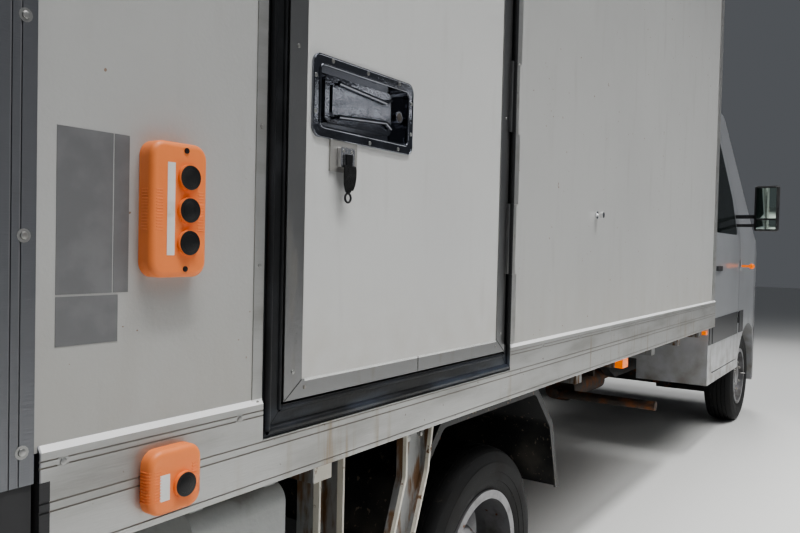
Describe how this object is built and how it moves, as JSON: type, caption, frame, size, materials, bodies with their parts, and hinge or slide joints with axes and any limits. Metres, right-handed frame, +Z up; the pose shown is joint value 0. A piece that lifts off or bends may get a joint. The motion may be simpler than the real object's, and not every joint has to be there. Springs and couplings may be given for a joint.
{
  "type": "refrigerated truck",
  "caption": "Refrigerated box truck on a van-type chassis cab, with twin rear wheels, a side door, a roof-front cooling unit and a cantilever tail lift.",
  "frame": {"origin": "on the ground under the middle of the truck's length and width", "axes": "+X forward, +Y to the truck's left, +Z up"},
  "size_m": [6.9417, 2.51, 3.13],
  "materials": {
    "frame_steel": "satin black paint",
    "engine_metal": "cast",
    "axle_steel": "black",
    "black_plastic": "grained black",
    "cab_paint": "gloss white-silver",
    "glass": "tinted",
    "lamp_glass": "clear",
    "seat_fabric": "woven dark",
    "floor_board": "sealed floor board",
    "panel_white": "satin light grey skin",
    "aluminium": "anodised",
    "rubber": "matt",
    "tyre": "matt",
    "rim_silver": "silver paint",
    "chrome": "dark polished",
    "orange_plastic": "satin orange",
    "amber_lens": "clear amber",
    "unit_white": "satin white",
    "fan_black": "satin",
    "galvanised": "galvanised",
    "rod_chrome": "polished",
    "knuckle_iron": "cast"
  },
  "bodies": {
    "chassis": {"chassis_frame": "frame_steel", "powertrain": "engine_metal", "axles": "axle_steel", "fuel_tank": "black_plastic", "mudguards": "black_plastic", "cab_shell": "cab_paint", "windscreen": "glass", "front_bumper": "black_plastic", "headlamps": "lamp_glass", "seats": "seat_fabric", "dashboard": "black_plastic", "box_floor": "floor_board", "box_panels": "panel_white", "box_frame": "aluminium", "side_door_seal": "rubber", "control_boxes": "orange_plastic", "lamps": "amber_lens", "cooling_unit": "unit_white"},
    "knuckle_left": {"knuckle_left": "knuckle_iron"},
    "knuckle_right": {"knuckle_right": "knuckle_iron"},
    "front_wheel_left": {"front_tyre_left": "tyre", "front_rim_left": "rim_silver"},
    "front_wheel_right": {"front_tyre_right": "tyre", "front_rim_right": "rim_silver"},
    "rear_wheels_left": {"rear_tyres_left": "tyre", "rear_rims_left": "rim_silver"},
    "rear_wheels_right": {"rear_tyres_right": "tyre", "rear_rims_right": "rim_silver"},
    "cab_door_left": {"cab_door_left": "cab_paint", "door_glass_left": "glass", "mirror_left": "black_plastic"},
    "cab_door_right": {"cab_door_right": "cab_paint", "door_glass_right": "glass", "mirror_right": "black_plastic"},
    "bonnet": {"bonnet": "cab_paint"},
    "side_door": {"side_door": "panel_white", "side_door_latch": "chrome"},
    "top_flap": {"top_flap": "panel_white"},
    "condenser_fan": {"condenser_fan": "fan_black"},
    "lift_arms": {"lift_arms": "frame_steel"},
    "lift_ties": {"lift_ties": "frame_steel"},
    "lift_head": {"lift_head": "frame_steel"},
    "lift_barrels": {"lift_barrels": "frame_steel"},
    "lift_pistons": {"lift_pistons": "rod_chrome"},
    "lift_platform": {"lift_platform": "aluminium"}
  },
  "joints": [
    {"name": "steer_left", "type": "hinge", "parent": "chassis", "child": "knuckle_left", "pos_m": [2.465, 0.795, 0.347], "axis": [0, 0, 1], "range_deg": [-32, 32]},
    {"name": "steer_right", "type": "hinge", "parent": "chassis", "child": "knuckle_right", "pos_m": [2.465, -0.795, 0.347], "axis": [0, 0, 1], "range_deg": [-32, 32]},
    {"name": "front_wheel_left_spin", "type": "hinge", "parent": "knuckle_left", "child": "front_wheel_left", "pos_m": [2.465, 0.852, 0.347], "axis": [0, 1, 0], "continuous": true},
    {"name": "front_wheel_right_spin", "type": "hinge", "parent": "knuckle_right", "child": "front_wheel_right", "pos_m": [2.465, -0.852, 0.347], "axis": [0, 1, 0], "continuous": true},
    {"name": "rear_wheels_left_spin", "type": "hinge", "parent": "chassis", "child": "rear_wheels_left", "pos_m": [-1.86, 0.765, 0.347], "axis": [0, 1, 0], "continuous": true},
    {"name": "rear_wheels_right_spin", "type": "hinge", "parent": "chassis", "child": "rear_wheels_right", "pos_m": [-1.86, -0.765, 0.347], "axis": [0, 1, 0], "continuous": true},
    {"name": "cab_door_left_hinge", "type": "hinge", "parent": "chassis", "child": "cab_door_left", "pos_m": [2.053, 1.003, 1.2], "axis": [0, 0, -1], "range_deg": [0, 70]},
    {"name": "cab_door_right_hinge", "type": "hinge", "parent": "chassis", "child": "cab_door_right", "pos_m": [2.053, -1.003, 1.2], "axis": [0, 0, 1], "range_deg": [0, 70]},
    {"name": "bonnet_hinge", "type": "hinge", "parent": "chassis", "child": "bonnet", "pos_m": [2.737, 0, 1.414], "axis": [0, -1, 0], "range_deg": [0, 50]},
    {"name": "side_door_hinge", "type": "hinge", "parent": "chassis", "child": "side_door", "pos_m": [-1.929, -1.072, 1.9], "axis": [0, 0, 1], "range_deg": [0, 170]},
    {"name": "top_flap_hinge", "type": "hinge", "parent": "chassis", "child": "top_flap", "pos_m": [-3.398, 0, 2.996], "axis": [0, 1, 0], "range_deg": [0, 95]},
    {"name": "condenser_fan_spin", "type": "hinge", "parent": "chassis", "child": "condenser_fan", "pos_m": [1.185, 0, 2.79], "axis": [1, 0, 0], "continuous": true},
    {"name": "lift_arms_swing", "type": "hinge", "parent": "chassis", "child": "lift_arms", "pos_m": [-2.798, 0, 0.44], "axis": [0, -1, 0], "range_deg": [0, 61.6]},
    {"name": "lift_ties_swing", "type": "hinge", "parent": "chassis", "child": "lift_ties", "pos_m": [-2.798, 0, 0.5], "axis": [0, -1, 0], "range_deg": [0, 61.6]},
    {"name": "lift_head_level", "type": "hinge", "parent": "lift_arms", "child": "lift_head", "pos_m": [-3.435, 0, 0.82], "axis": [0, 1, 0], "range_deg": [0, 61.6]},
    {"name": "platform_tilt", "type": "hinge", "parent": "lift_head", "child": "lift_platform", "pos_m": [-3.435, 0, 0.967], "axis": [0, -1, 0], "range_deg": [0, 95]},
    {"name": "lift_barrels_swing", "type": "hinge", "parent": "chassis", "child": "lift_barrels", "pos_m": [-2.775, 0, 0.34], "axis": [0, -1, 0], "range_deg": [0, 47.6]},
    {"name": "lift_pistons_slide", "type": "slide", "parent": "lift_barrels", "child": "lift_pistons", "axis": [-0.7058, 0, 0.7084], "range_m": [-0.0846, 0]}
  ],
  "couplings": [
    {"joint": "steer_right", "follows": "steer_left", "ratio": 1},
    {"joint": "lift_ties_swing", "follows": "lift_arms_swing", "ratio": 1},
    {"joint": "lift_head_level", "follows": "lift_arms_swing", "ratio": 1},
    {"joint": "lift_barrels_swing", "follows": "lift_arms_swing", "ratio": 0.767},
    {"joint": "lift_pistons_slide", "follows": "lift_arms_swing", "m_per_rad": -0.07775}
  ]
}
